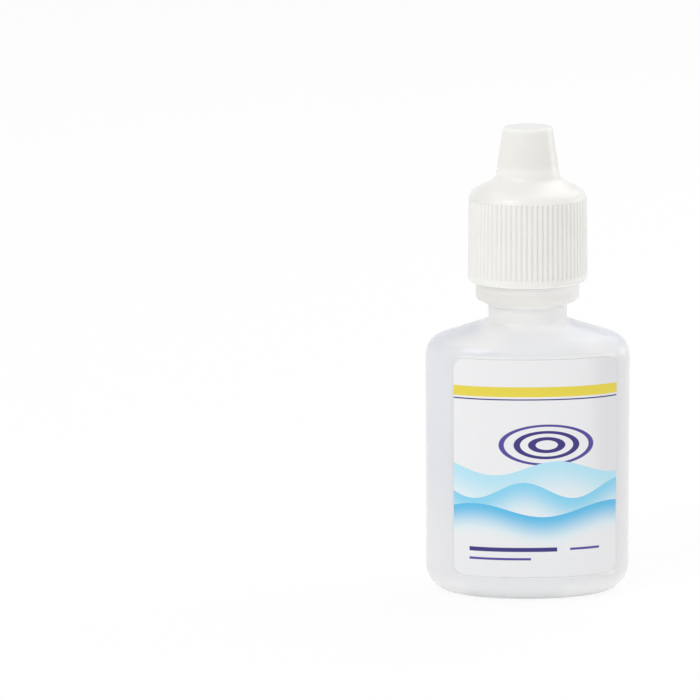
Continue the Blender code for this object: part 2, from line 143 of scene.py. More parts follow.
# Thread, right-handed, on the neck and in the cap
THREAD_PITCH = 2.6 * MM
THREAD_TURNS = 1.5
THREAD_DEPTH = 0.8 * MM
THREAD_ROOT = 1.15 * MM
THREAD_CREST = 0.5 * MM
THREAD_START = 3.2 * MM
THREAD_SINK = 0.08 * MM
THREAD_FADE = np.radians(35)
THREAD_ROUNDING = 0.12 * MM
THREAD_SECTION = (0, 0.86, 0.97, 1, 0.97, 0.86, 0)  # of its depth, from one root to the other
THREAD_END_WIDTH = 0.25  # of its full width

# Label
LABEL_CORNER = 1.8 * MM
LABEL_GAP = 0.03 * MM
LABEL_THICKNESS = 0.07 * MM

# Meshes
OVAL_COLUMNS = 288
TURN_COLUMNS = 144
COLUMNS_PER_RIB = 8
THREAD_ROWS_PER_TURN = 96
LABEL_COLUMNS = 120
LABEL_ROWS = 60
LABEL_CORNER_COLUMNS = 10
FINE = 0.35 * MM
ARC_STEP = np.radians(9)
SHARP_ANGLE = np.radians(40)
SMALLEST_TURN = 1e-6
SMALLEST_STEP = 1e-7

# Materials. A roughness stays on one side of 0.27: a surface that crosses it renders with dark specks.
GLOSSY, GLOSSY_SPREAD = 0.19, 0.07
SATIN = 0.3
SCATTER_SHARE = 0.6
CLOUD = (0.3, 0.7)  # the span of a noise in which one tint gives way to the next

# Camera, from the photograph's 700 by 700 frame
FRAME_PIXELS = 700
FOCAL_PIXELS = 3817.0
BASE_PIXEL = (527.2, 587.7)
CAMERA_PITCH = np.radians(10.7)
CAMERA_YAW = np.radians(0.5)
CAMERA_ROLL = np.radians(0.42)
CAMERA_DEPTH = 650 * MM
SENSOR = 36.0
NEAREST, FARTHEST = 10 * MM, 20.0

# Stage: the room's light on plain surfaces, and the share of plain white in the floor that is seen
ROOM_LEVEL = 0.74
FLOOR_WHITE = 0.88
FLOOR_HALF = 3.0
FLOOR_DROP = 0.02 * MM

# Lamps as (name, place, side, power)
LAMPS = (
    ("key", (-0.52, -0.57, 0.68), 0.45, 2.3),
    ("top", (0.42, 0.36, 0.73), 0.80, 1.9),
    ("rim", (0.68, 0.26, 0.12), 0.30, 0.42),
)


# Shapes
def rounded_path(corners, spacing=FINE):
    """A line through corners given as (across, up, radius), with each corner an arc of its radius.

    Each arc is tangent to both straights: it starts radius * tan(turn / 2) before the corner.
    Straights are cut into steps of the spacing, and arcs into steps of ARC_STEP.
    """
    points = np.array([corner[:2] for corner in corners], float)
    pieces = [points[:1]]
    for i in range(1, len(points) - 1):
        before, after = points[i - 1] - points[i], points[i + 1] - points[i]
        before, after = before / np.linalg.norm(before), after / np.linalg.norm(after)
        turn = np.pi - np.arccos(np.clip(before @ after, -1, 1))
        radius = corners[i][2]
        if radius == 0 or turn < SMALLEST_TURN:
            pieces.append(points[i : i + 1])
            continue
        start = points[i] + before * radius * np.tan(turn / 2)
        middle = before + after
        centre = points[i] + middle / np.linalg.norm(middle) * radius / np.cos(turn / 2)
        first = start - centre
        sense = np.sign(first[0] * -before[1] - first[1] * -before[0])
        angle = sense * np.linspace(0, turn, max(int(np.ceil(turn / ARC_STEP)), 2) + 1)
        pieces.append(
            centre
            + np.stack(
                [
                    first[0] * np.cos(angle) - first[1] * np.sin(angle),
                    first[0] * np.sin(angle) + first[1] * np.cos(angle),
                ],
                1,
            )
        )
    pieces.append(points[-1:])

    path = [pieces[0]]
    for piece in pieces[1:]:
        gap = piece[0] - path[-1][-1]
        count = max(int(np.ceil(np.linalg.norm(gap) / spacing)), 1)
        steps = np.arange(1, count)[:, None] / count
        path.append(path[-1][-1] + steps * gap)
        path.append(piece)
    path = np.concatenate(path)
    kept = np.ones(len(path), bool)
    kept[1:] = np.linalg.norm(np.diff(path, axis=0), axis=1) > SMALLEST_STEP
    return path[kept]


def with_rows(path, heights):
    """The path with a row added at each height on its outer side, where it crosses that height."""
    outer = path[:, 0] > SKIRT_TOP_RADIUS - CAP_SHOULDER_RADIUS / 2
    for height in heights:
        crosses = outer[:-1] & outer[1:] & (path[:-1, 1] < height) & (path[1:, 1] > height)
        for i in np.flatnonzero(crosses)[::-1]:
            share = (height - path[i, 1]) / (path[i + 1, 1] - path[i, 1])
            path = np.insert(path, i + 1, path[i] + share * (path[i + 1] - path[i]), axis=0)
            outer = np.insert(outer, i + 1, True)
    return path


def grid_mesh(name, grid, closed=False, poles=(None, None), ends=()):
    """A mesh of quads on a grid of points [row, column, xyz], whose last column joins the first.

    closed joins the last row to the first. A pole closes an end with a fan, and ends are faces that do.
    """
    rows, columns = grid.shape[:2]
    index = np.arange(rows * columns).reshape(rows, columns)
    index = np.hstack([index, index[:, :1]])
    if closed:
        index = np.vstack([index, index[:1]])
    quads = np.stack([index[:-1, :-1], index[:-1, 1:], index[1:, 1:], index[1:, :-1]], -1)
    points = grid.reshape(-1, 3)
    faces = quads.reshape(-1, 4).tolist() + list(ends)
    for pole, row, turned in ((poles[0], index[0], True), (poles[1], index[-1], False)):
        if pole is None:
            continue
        tip = np.full(len(row) - 1, len(points))
        points = np.vstack([points, pole])
        fan = (tip, row[1:], row[:-1]) if turned else (row[:-1], row[1:], tip)
        faces += np.stack(fan, -1).tolist()
    mesh = bpy.data.meshes.new(name)
    mesh.from_pydata(points.tolist(), [], faces)
    mesh.shade_smooth()
    return mesh


def add_object(name, data):
    """A new object with this data, in the scene."""
    made = bpy.data.objects.new(name, data)
    bpy.context.scene.collection.objects.link(made)
    return made


def add_piece(name, mesh, body, slot, material, *nodes):
    """An object of this mesh that rides on a body and stands for CAD nodes, if any are given."""
    piece = add_object(name, mesh)
    mesh.materials.append(material)
    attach(piece, body)
    if nodes:
        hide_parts(*nodes)


def wall_wave(x, y, z):
    """How far the blown wall dips at a point: a sum of sine waves round it and up it, never outwards.

    The dip fades to nothing at the wall's foot and top.
    """
    angle = np.arctan2(y / HALF_DEPTH, x / HALF_WIDTH)
    rise = z / SIDE_WALL_TOP
    dip = sum(
        size * (np.sin(turn * angle + climb * rise + phase) - 1) for size, turn, climb, phase in WAVES
    )
    fade = np.clip((rise - WAVE_START) / WAVE_FADE, 0, 1) * np.clip((WAVE_END - rise) / WAVE_FADE, 0, 1)
    return WALL_WAVE * dip * fade


def oval_power(half_width, half_depth):
    """A circle's power on the neck, rising to the body's squarer oval as the section widens."""
    widening = (half_width - half_depth) / (HALF_WIDTH - HALF_DEPTH)
    return 2 + (OVAL_POWER - 2) * np.clip(widening, 0, 1)


def oval_grid(half_width, half_depth, height, columns):
    """Sections |x / half width| ^ power + |y / half depth| ^ power = 1, one row for each height."""
    turn = 2 * np.pi * np.arange(columns) / columns
    share = (2 / oval_power(half_width, half_depth))[:, None]
    x = half_width[:, None] * np.abs(np.cos(turn)) ** share * np.sign(np.cos(turn))
    y = half_depth[:, None] * np.abs(np.sin(turn)) ** share * np.sign(np.sin(turn))
    z = np.repeat(height[:, None], columns, 1)
    growth = 1 + wall_wave(x, y, z) / np.hypot(x, y)
    return np.stack([x * growth, y * growth, z], -1)


def half_depths(half_width, height, inset, neck_half, neck_height):
    """Half the depth for each point of the side outline.

    In the base it follows the foot at a fixed distance. In the heel it is the front corner's arc.
    On the shoulder it is half a cosine wave in to the neck, and above that the section is round.
    """
    foot_half, foot_depth = HALF_WIDTH - HEEL_SIDE_RADIUS, HALF_DEPTH - HEEL_FRONT_RADIUS
    panel_half = foot_half - FOOT_WIDTH - PUSH_UP_RUN
    panel_depth = foot_depth - FOOT_WIDTH - PUSH_UP_RUN
    base = np.where(
        half_width < panel_half,
        panel_depth * half_width / panel_half,
        half_width - foot_half + foot_depth,
    )
    drop = np.clip(HEEL_FRONT_RADIUS - height, 0, HEEL_FRONT_RADIUS - inset)
    heel = HALF_DEPTH - HEEL_FRONT_RADIUS + np.sqrt((HEEL_FRONT_RADIUS - inset) ** 2 - drop**2)
    share = np.clip((neck_height - height) / (neck_height - FRONT_WALL_TOP), 0, 1)
    shoulder = neck_half + (HALF_DEPTH - inset - neck_half) * (1 - np.cos(np.pi * share)) / 2
    low = np.where(half_width <= foot_half, base, heel)
    shoulder = np.minimum(shoulder, np.maximum(half_width, neck_half))
    high = np.where(height >= neck_height, half_width, shoulder)
    return np.where(height < SIDE_WALL_TOP / 2, low, high)


def bottle_outlines():
    """The outline from the middle of the base up the outside, and the one from the bore down the inside."""
    foot_half = HALF_WIDTH - HEEL_SIDE_RADIUS
    ring_half = foot_half - FOOT_WIDTH
    panel_half = ring_half - PUSH_UP_RUN
    corner_rise = np.tan((np.pi / 2 - SHOULDER_SLOPE) / 2)
    corner = SIDE_WALL_TOP + SHOULDER_RADIUS * corner_rise
    root = corner + (HALF_WIDTH - NECK_RADIUS) * np.tan(SHOULDER_SLOPE)
    outside = [
        (BASE_POLE_RING, PUSH_UP_HEIGHT, 0),
        (panel_half, PUSH_UP_HEIGHT, FOOT_EDGE),
        (ring_half, 0, FOOT_EDGE),
        (HALF_WIDTH, 0, HEEL_SIDE_RADIUS),
        (HALF_WIDTH, corner, SHOULDER_RADIUS),
        (NECK_RADIUS, root, NECK_FILLET),
        (NECK_RADIUS, BEAD_BOTTOM, EDGE),
        (BEAD_RADIUS, BEAD_BOTTOM + (BEAD_RADIUS - NECK_RADIUS) * np.tan(BEAD_SLOPE), BEAD_UNDER_EDGE),
        (BEAD_RADIUS, BEAD_TOP, BEAD_TOP_EDGE),
        (FINISH_RADIUS, BEAD_TOP, EDGE),
        (FINISH_RADIUS, LIP, LIP_EDGE),
        (BORE_RADIUS, LIP, LIP_EDGE),
        (BORE_RADIUS, LIP - 2 * LIP_EDGE, 0),
    ]
    inner_half = HALF_WIDTH - WALL
    inner_corner = SIDE_WALL_TOP + (SHOULDER_RADIUS - WALL) * corner_rise
    inner_root = inner_corner + (inner_half - BORE_RADIUS) * np.tan(SHOULDER_SLOPE)
    inside = [
        (BORE_RADIUS, LIP - 3 * LIP_EDGE, 0),
        (BORE_RADIUS, inner_root, EDGE),
        (inner_half, inner_corner, SHOULDER_RADIUS - WALL),
        (inner_half, WALL, HEEL_SIDE_RADIUS - WALL),
        (ring_half, WALL, FOOT_EDGE),
        (panel_half, PUSH_UP_HEIGHT + WALL, FOOT_EDGE),
        (BASE_POLE_RING, PUSH_UP_HEIGHT + WALL, 0),
    ]
    return outside, inside, root, inner_root


def make_bottle(material):
    """Outside and inside of the blown bottle as one closed skin of oval sections."""
    outside, inside, root, inner_root = bottle_outlines()
    outer = rounded_path(outside, 2 * FINE)
    inner = rounded_path(inside, 4 * FINE)
    outer_depth = half_depths(outer[:, 0], outer[:, 1], 0.0, NECK_RADIUS, root + NECK_FILLET / 2)
    inner_depth = half_depths(inner[:, 0], inner[:, 1], WALL, BORE_RADIUS, inner_root)
    path = np.vstack([outer, inner])
    depth = np.concatenate([outer_depth, inner_depth])
    grid = oval_grid(path[:, 0], depth, path[:, 1], OVAL_COLUMNS)
    poles = ((0, 0, PUSH_UP_HEIGHT), (0, 0, PUSH_UP_HEIGHT + WALL))
    mesh = grid_mesh("bottle_shell", grid, poles=poles)
    add_piece("bottle_shell", mesh, "bottle", "milky_polyethylene", material, "bottle_body")


def turned_grid(path, columns):
    """A profile of (radius, height) carried round Z."""
    turn = 2 * np.pi * np.arange(columns) / columns
    radius, height = path[:, :1], path[:, 1:]
    return np.stack([radius * np.cos(turn), radius * np.sin(turn), height + 0 * turn], -1)


def make_tip(material):
    """The plug, flange and nozzle outside, then the way for the drop inside, as one turned ring."""
    corners = [
        (PLUG_BORE, PLUG_BOTTOM + PLUG_LEAD, 0),
        (PLUG_BORE, PLUG_BOTTOM, EDGE / 2),
        (BARREL_RADIUS - PLUG_LEAD / 2, PLUG_BOTTOM, EDGE / 2),
        (BARREL_RADIUS, PLUG_BOTTOM + PLUG_LEAD, EDGE),
    ]
    spacing = (LIP - PLUG_BOTTOM - PLUG_LEAD) / (SEAL_RIB_COUNT + 1)
    for rib in range(SEAL_RIB_COUNT, 0, -1):
        middle = LIP - spacing * rib
        corners += [
            (BARREL_RADIUS, middle - SEAL_RIB_WIDTH / 2, EDGE / 2),
            (SEAL_CREST, middle - SEAL_RIB_WIDTH / 4, EDGE / 2),
            (SEAL_CREST, middle + SEAL_RIB_WIDTH / 4, EDGE / 2),
            (BARREL_RADIUS, middle + SEAL_RIB_WIDTH / 2, EDGE / 2),
        ]
    corners += [
        (BARREL_RADIUS, FLANGE_BOTTOM, 0),
        (FLANGE_RADIUS, FLANGE_BOTTOM, EDGE / 2),
        (FLANGE_RADIUS, FLANGE_TOP, EDGE),
        (NOZZLE_BASE_RADIUS, FLANGE_TOP, 2 * EDGE),
        (NOZZLE_TIP_RADIUS, NOZZLE_TOP, 2 * EDGE),
        (DROP_CUP_RADIUS, NOZZLE_TOP, EDGE / 2),
        (DROP_CUP_FLOOR, NOZZLE_TOP - DROP_CUP_DEPTH, EDGE),
        (ORIFICE_RADIUS, NOZZLE_TOP - DROP_CUP_DEPTH, EDGE / 3),
        (ORIFICE_RADIUS, NOZZLE_TOP - DROP_CUP_DEPTH - ORIFICE_LENGTH, EDGE),
        (NOZZLE_BASE_RADIUS - NOZZLE_WALL, FLANGE_TOP, EDGE),
        (PLUG_BORE, FLANGE_BOTTOM, EDGE),
        (PLUG_BORE, PLUG_BOTTOM + 2 * PLUG_LEAD, 0),
    ]
    grid = turned_grid(rounded_path(corners), TURN_COLUMNS)
    mesh = grid_mesh("dropper_nozzle", grid, closed=True)
    add_piece("dropper_nozzle", mesh, "bottle", "natural_polyethylene", material, "dropper_tip")


def cap_corners():
    """The cap's outline from the pin down the inside, round the rim and up the outside to the top."""
    end_radius = SKIRT_TOP_RADIUS - CAP_SHOULDER_RADIUS * (1 - np.sin(CAP_SHOULDER_SLOPE))
    rise = CAP_SHOULDER_RADIUS * np.cos(CAP_SHOULDER_SLOPE)
    shoulder = SEAT + ROOF - rise - (end_radius - SEAT_RIM) * np.tan(CAP_SHOULDER_SLOPE)
    corner = shoulder + CAP_SHOULDER_RADIUS * np.tan((np.pi / 2 - CAP_SHOULDER_SLOPE) / 2)
    taper = (NOSE_INNER_BASE - NOSE_INNER_TIP) / (NOSE_INNER_TOP - SEAT)
    nose_foot = NOSE_INNER_BASE + NOSE_WALL - taper * (corner + ROOF - SEAT)
    foot_height = corner + (SKIRT_TOP_RADIUS - nose_foot) * np.tan(CAP_SHOULDER_SLOPE)
    nose_top = NOSE_INNER_TIP + NOSE_WALL - taper * (CAP_TOP - NOSE_INNER_TOP)
    corners = [
        (PIN_POLE_RING, NOZZLE_TOP - PIN_REACH, 0),
        (PIN_RADIUS, NOZZLE_TOP - PIN_REACH, EDGE),
        (PIN_RADIUS, NOSE_INNER_TOP, EDGE),
        (NOSE_INNER_TIP, NOSE_INNER_TOP, EDGE),
        (NOSE_INNER_BASE, SEAT, EDGE),
        (SEAT_RIM, SEAT, EDGE),
        (CAP_BORE, SEAT - CEILING_DROP, EDGE),
        (CAP_BORE, CAP_BOTTOM + 2 * EDGE, EDGE),
        (CAP_BORE + 2 * EDGE, CAP_BOTTOM, EDGE / 2),
        (SKIRT_RIM_RADIUS, CAP_BOTTOM, RIM_EDGE),
        (SKIRT_TOP_RADIUS, corner, CAP_SHOULDER_RADIUS),
        (nose_foot, foot_height, NOSE_FILLET),
        (nose_top, CAP_TOP, NOSE_EDGE),
        (NOSE_POLE_RING, CAP_TOP, 0),
    ]
    return corners, shoulder


def smooth_step(value):
    """0 below 0, 1 above 1, and 3 v^2 - 2 v^3 between."""
    value = np.clip(value, 0, 1)
    return value * value * (3 - 2 * value)


def make_cap(material):
    """The cap turned from its outline, with grooves in the skirt from the dome's ledge to the plain band.

    A groove's depth is a smooth step on each rib's flank, times a smooth step at its two ends.
    """
    corners, shoulder = cap_corners()
    path = rounded_path(corners, 4 * FINE)
    low, high = CAP_BOTTOM + BAND_HEIGHT, shoulder + RIB_RISE
    starts = (low, low + RIB_RUN_OUT / 2, low + RIB_RUN_OUT)
    path = with_rows(path, (*starts, high - RIB_LEDGE, high - RIB_LEDGE / 2, high))
    columns = RIB_COUNT * COLUMNS_PER_RIB
    grid = turned_grid(path, columns)
    outside = path[:, 0] > (CAP_BORE + SKIRT_TOP_RADIUS) / 2
    ends = smooth_step((path[:, 1] - low) / RIB_RUN_OUT) * smooth_step((high - path[:, 1]) / RIB_LEDGE)
    phase = np.arange(columns) / COLUMNS_PER_RIB % 1
    groove = smooth_step((np.abs(phase - 0.5) - RIB_HALF_CREST) / RIB_FLANK)
    cut = RIB_DEPTH * (outside * ends)[:, None] * groove
    radius = np.hypot(grid[..., 0], grid[..., 1])
    grid[..., :2] *= (1 - cut / radius)[..., None]
    poles = ((0, 0, NOZZLE_TOP - PIN_REACH), (0, 0, CAP_TOP))
    mesh = grid_mesh("ribbed_cap", grid, poles=poles)
    add_piece("ribbed_cap", mesh, "cap", "white_polypropylene", material, "screw_cap")


def thread_grid(surface_radius, start, sign):
    """A thread of rounded trapezoid section carried along a helix.

    The crest stands off the surface by THREAD_DEPTH times sign, and both ends fade into the surface.
    """
    rows = int(THREAD_ROWS_PER_TURN * THREAD_TURNS)
    turn = np.linspace(0, 2 * np.pi * THREAD_TURNS, rows)
    fade = np.minimum(smooth_step(turn / THREAD_FADE), smooth_step((turn[-1] - turn) / THREAD_FADE))
    half = np.array([0, THREAD_CREST / 2, THREAD_CREST / 2 + THREAD_ROUNDING, THREAD_ROOT / 2])
    across = np.concatenate([-half[:0:-1], half])
    out = np.array(THREAD_SECTION)
    width = THREAD_END_WIDTH + (1 - THREAD_END_WIDTH) * fade[:, None]
    rise = -THREAD_SINK + (THREAD_DEPTH + THREAD_SINK) * out * fade[:, None]
    radius = surface_radius + sign * rise
    height = start + turn[:, None] / (2 * np.pi) * THREAD_PITCH + across * width
    grid = np.stack([radius * np.cos(turn[:, None]), radius * np.sin(turn[:, None]), height], -1)
    return grid if sign < 0 else grid[::-1]


def make_threads(neck_plastic, cap_plastic):
    """The neck's outer thread, and the cap's inner one half a pitch below it."""
    start = BEAD_TOP + THREAD_START
    for name, body, slot, material, radius, offset, sign in (
        ("neck_thread", "bottle", "milky_polyethylene", neck_plastic, FINISH_RADIUS, THREAD_PITCH / 2, 1),
        ("cap_thread", "cap", "white_polypropylene", cap_plastic, CAP_BORE, 0, -1),
    ):
        grid = thread_grid(radius, start + offset, sign)
        tips = grid[[0, -1]].mean(1)
        tips[:, :2] *= 1 - sign * THREAD_SINK / radius
        poles = tuple(map(tuple, tips))
        add_piece(name, grid_mesh(name, grid, poles=poles), body, slot, material)


def label_grid():
    """The film's place on the wall: x from side to side, and z between the rounded corners' edges.

    Its depth follows the body's oval. With it come the wall's normal across and deep, the wall's
    dip, and the arc along the oval from the film's middle.
    """
    half = (label_high.x - label_low.x) / 2 - 2 * LABEL_THICKNESS
    middle = (label_high.x + label_low.x) / 2
    flat_half = half - LABEL_CORNER
    bend = np.sin(np.linspace(0, np.pi / 2, LABEL_CORNER_COLUMNS))
    right = flat_half + LABEL_CORNER * bend
    x = np.concatenate([-right[::-1], np.linspace(-flat_half, flat_half, LABEL_COLUMNS)[1:-1], right])
    past = np.clip(np.abs(x) - flat_half, 0, LABEL_CORNER)
    cut = LABEL_CORNER - np.sqrt(LABEL_CORNER**2 - past**2)
    low, high = label_low.z + cut, label_high.z - cut
    rise = np.linspace(0, 1, LABEL_ROWS)[:, None]
    z = low + (high - low) * rise
    x = x + middle
    wide = np.abs(x) / HALF_WIDTH
    deep = (1 - wide**OVAL_POWER) ** (1 / OVAL_POWER)
    normal_x = np.sign(x) * wide ** (OVAL_POWER - 1) / HALF_WIDTH
    normal_y = -(deep ** (OVAL_POWER - 1)) / HALF_DEPTH
    length = np.hypot(normal_x, normal_y)
    y = -deep * HALF_DEPTH
    arc = np.concatenate([[0], np.cumsum(np.hypot(np.diff(x), np.diff(y)))])
    arc -= arc[-1] / 2
    x, y = x + 0 * z, y + 0 * z
    return x, y, z, normal_x / length, normal_y / length, wall_wave(x, y, z), arc


def make_label():
    """The film as a closed sheet: front, back and rim, with a UV map that unrolls it flat.

    Each face stands off the wall along its normal, by the gap or by the gap and the film's thickness.
    """
    x, y, z, normal_x, normal_y, dip, arc = label_grid()
    back, front = (
        np.stack([x + normal_x * (stand_off + dip), y + normal_y * (stand_off + dip), z], -1)
        for stand_off in (LABEL_GAP, LABEL_GAP + LABEL_THICKNESS)
    )
    around = np.concatenate([front, back[:, ::-1]], axis=1)
    rows, columns = front.shape[:2]
    index = np.arange(rows * 2 * columns).reshape(rows, 2 * columns)
    strips = []
    for row, turned in ((index[0], True), (index[-1], False)):
        first, second = row[:columns], row[columns:][::-1]
        strip = np.stack([first[:-1], first[1:], second[1:], second[:-1]], -1)
        strips += (strip[:, ::-1] if turned else strip).tolist()
    mesh = grid_mesh("printed_label", around, ends=strips)
    mesh.set_sharp_from_angle(angle=SHARP_ANGLE)

    width, height = arc[-1] - arc[0], label_high.z - label_low.z
    u = np.concatenate([arc, arc[::-1]]) / width + 0.5
    v = (around[..., 2] - label_low.z) / height
    flat = np.stack([u + 0 * v, v], -1).reshape(-1, 2)
    corner_vertex = np.empty(len(mesh.loops), np.int64)
    mesh.loops.foreach_get("vertex_index", corner_vertex)
    unrolled = mesh.uv_layers.new(name="unrolled")
    unrolled.uv.foreach_set("vector", flat[corner_vertex].ravel())
    material = label_film(width / MM, height / MM)
    add_piece("printed_label", mesh, "bottle", "label_film", material, "front_label")


# Materials
class Value:
    """A socket of one node tree. Plain operators add the Math nodes."""

    def __init__(self, shading, socket):
        self.shading = shading
        self.socket = socket

    def maths(self, operation, *others):
        return self.shading.node("Math", {"operation": operation}, dict(enumerate((self, *others))))

    def __add__(self, other):
        return self.maths("ADD", other)

    def __sub__(self, other):
        return self.maths("SUBTRACT", other)

    def __rsub__(self, other):
        return self.shading.node("Math", {"operation": "SUBTRACT"}, {0: other, 1: self})

    def __mul__(self, other):
        return self.maths("MULTIPLY", other)

    def __pow__(self, other):
        return self.maths("POWER", other)

    def __abs__(self):
        return self.maths("ABSOLUTE")

    __radd__ = __add__
    __rmul__ = __mul__

    def sine(self):
        return self.maths("SINE")

    def most(self, other):
        return self.maths("MAXIMUM", other)

    def step(self, start, end):
        """A smooth step from 0 at start to 1 at end."""
        inputs = {"Value": self, "From Min": start, "From Max": end}
        return self.shading.node("MapRange", {"interpolation_type": "SMOOTHSTEP"}, inputs)

    def band(self, rise, fall):
        """A smooth step up between the two values of rise, and down again between those of fall."""
        return self.step(*rise) * (1 - self.step(*fall))


class Shading:
    """A node tree that is written as expressions on values."""

    def __init__(self, tree):
        self.tree = tree

    def node(self, kind, settings=None, inputs=None, output=0):
        """A node of a type, with its settings set first and then the values or links of its sockets."""
        made = self.tree.nodes.new("ShaderNode" + kind)
        for name, value in (settings or {}).items():
            setattr(made, name, value)
        for key, value in (inputs or {}).items():
            self.plug(made.inputs[key], value)
        return Value(self, made.outputs[output])

    def plug(self, socket, value):
        if isinstance(value, Value):
            self.tree.links.new(value.socket, socket)
        else:
            socket.default_value = value

    def seen(self):
        """1 for rays from the camera, off gloss or through a clear surface, and 0 for the room's light."""
        camera, gloss, clear = (
            self.node("LightPath", output=f"Is {ray} Ray") for ray in ("Camera", "Glossy", "Transmission")
        )
        return camera.most(gloss).most(clear)


class Finish(Shading):
    """A material whose tree ends in one Principled shader."""

    def __init__(self, name, **constants):
        self.material = bpy.data.materials.new(name)
        self.material.use_nodes = True
        super().__init__(self.material.node_tree)
        self.shader = self.tree.nodes["Principled BSDF"]
        for socket, value in constants.items():
            self.set(socket.replace("_", " "), value)

    def set(self, socket, value):
        self.plug(self.shader.inputs[socket], value)

    def place(self):
        """Object coordinates in millimetres: the whole vector, and x, y and z."""
        spot = self.node("TexCoord", output="Object")
        scaled = self.node("VectorMath", {"operation": "SCALE"}, {0: spot, "Scale": 1 / MM})
        return (scaled, *self.split(scaled))

    def split(self, vector):
        return tuple(self.node("SeparateXYZ", None, {0: vector}, output=axis) for axis in range(3))

    def join(self, x, y, z):
        return self.node("CombineXYZ", None, {0: x, 1: y, 2: z})

    def noise(self, vector, scale, detail):
        return self.node("TexNoise", None, {"Vector": vector, "Scale": scale, "Detail": detail})

    def mix(self, share, first, second):
        """The first colour where share is 0 and the second where it is 1."""
        return self.node("Mix", {"data_type": "RGBA"}, {0: share, 6: first, 7: second}, output=2)

    def layers(self, base, *layers):
        """The base colour under layers of (share, colour), each laid over what is there."""
        for share, tint in layers:
            base = self.mix(share, base, tint)
        return base

    def bump(self, height, strength, distance):
        inputs = {"Height": height, "Strength": strength, "Distance": distance}
        self.set("Normal", self.node("Bump", None, inputs))


def colour(red, green, blue):
    return (red, green, blue, 1.0)


def plastic(name, index, depth):
    """A plastic of this index of refraction that scatters light to this depth, alike in all colours."""
    return Finish(
        name,
        IOR=index,
        Subsurface_Weight=SCATTER_SHARE,
        Subsurface_Radius=(1.0, 1.0, 1.0),
        Subsurface_Scale=depth,
    )


def wall_tint_and_painted_light(finish, spot, x, y, z):
    """A cool grey wall, with painted light to the right, low down and on the shoulders, a painted highlight
    streak on the right shoulder, and painted shade on greyer ridges.
    """
    cloud = finish.noise(spot, 0.09, 2.0).step(*CLOUD)
    # Painted light: paler to the right and low down.
    right, low = x.step(4.0, 15.0), 1 - z.step(6.0, 24.0)
    left = 1 - x.step(-7.0, -2.5)
    # Painted light on the shoulders, starting higher on the left.
    shoulder = left * z.step(42.7, 43.5) + (1 - left) * z.step(39.5, 43.5)
    # A painted highlight: a pale streak on the right shoulder.
    painted_highlight_streak = x.step(7.5, 11.0) * abs(y).step(4.5, 7.0) * z.band((41.0, 42.6), (44.0, 44.7))
    # Painted shade on the shoulder's ridges beside the neck.
    off_centre = abs(x + 0.6 * (1 - left)).step(5.5, 9.5)
    painted_shade_ridge = off_centre * (1 - abs(y).step(2.5, 8.5)) * (z + 0.8 * left).step(41.6, 43.8)
    return finish.layers(
        finish.mix(cloud, colour(0.745, 0.760, 0.790), colour(0.765, 0.775, 0.800)),
        (right * 0.8, colour(0.81, 0.805, 0.815)),
        (low * 0.75, colour(0.83, 0.827, 0.838)),
        (shoulder, finish.mix(left, colour(0.825, 0.83, 0.845), colour(0.875, 0.87, 0.87))),
        (painted_highlight_streak, colour(0.87, 0.87, 0.88)),
        (painted_shade_ridge, colour(0.69, 0.71, 0.755)),
    )


def neck_tint_and_painted_light(finish, x, z):
    """A plain grey-white neck, with painted shade to the left and painted light to the right, and painted
    light in the warmer throat under the bead, where its shade falls.
    """
    # Painted shade on the left and painted light on the right.
    neck = finish.mix(x.step(-6.0, 6.0), colour(0.82, 0.82, 0.815), colour(0.925, 0.925, 0.925))
    # Painted light in the throat, against the shade under the bead.
    throat_painted_light = finish.mix(x.step(-6.0, 4.0), colour(0.885, 0.88, 0.87), colour(0.955, 0.95, 0.935))
    return finish.mix(z.step(47.6, 48.8), neck, throat_painted_light)


def bead_tint_and_painted_light(finish, x, z):
    """A warm bead, with painted shade to the left and painted light to the right, painted light underneath,
    at its crown and where it faces the rim, and plain inside the cap.
    """
    # Painted shade to the left and painted light to the right.
    side_painted_light_and_shade = finish.mix(x.step(-8.0, 7.0), colour(0.76, 0.75, 0.715), colour(0.87, 0.86, 0.825))
    crown_painted_light = finish.mix(x.step(-7.0, 0.0), colour(0.85, 0.84, 0.805), colour(0.96, 0.95, 0.92))
    # Painted light underneath, at the crown and facing the rim, where shade falls; plain inside the cap.
    underside_painted_light, crown = 1 - z.step(49.6, 50.4), z.step(51.5, 52.6)
    facing_rim_painted_light, inside_cap = z.step(52.8, 53.0), z.step(53.3, 53.9)
    return finish.layers(
        side_painted_light_and_shade,
        (crown * 0.85, crown_painted_light),
        (facing_rim_painted_light, colour(0.98, 0.975, 0.955)),
        (inside_cap, colour(0.86, 0.86, 0.845)),
        (underside_painted_light, colour(0.95, 0.935, 0.90)),
    )


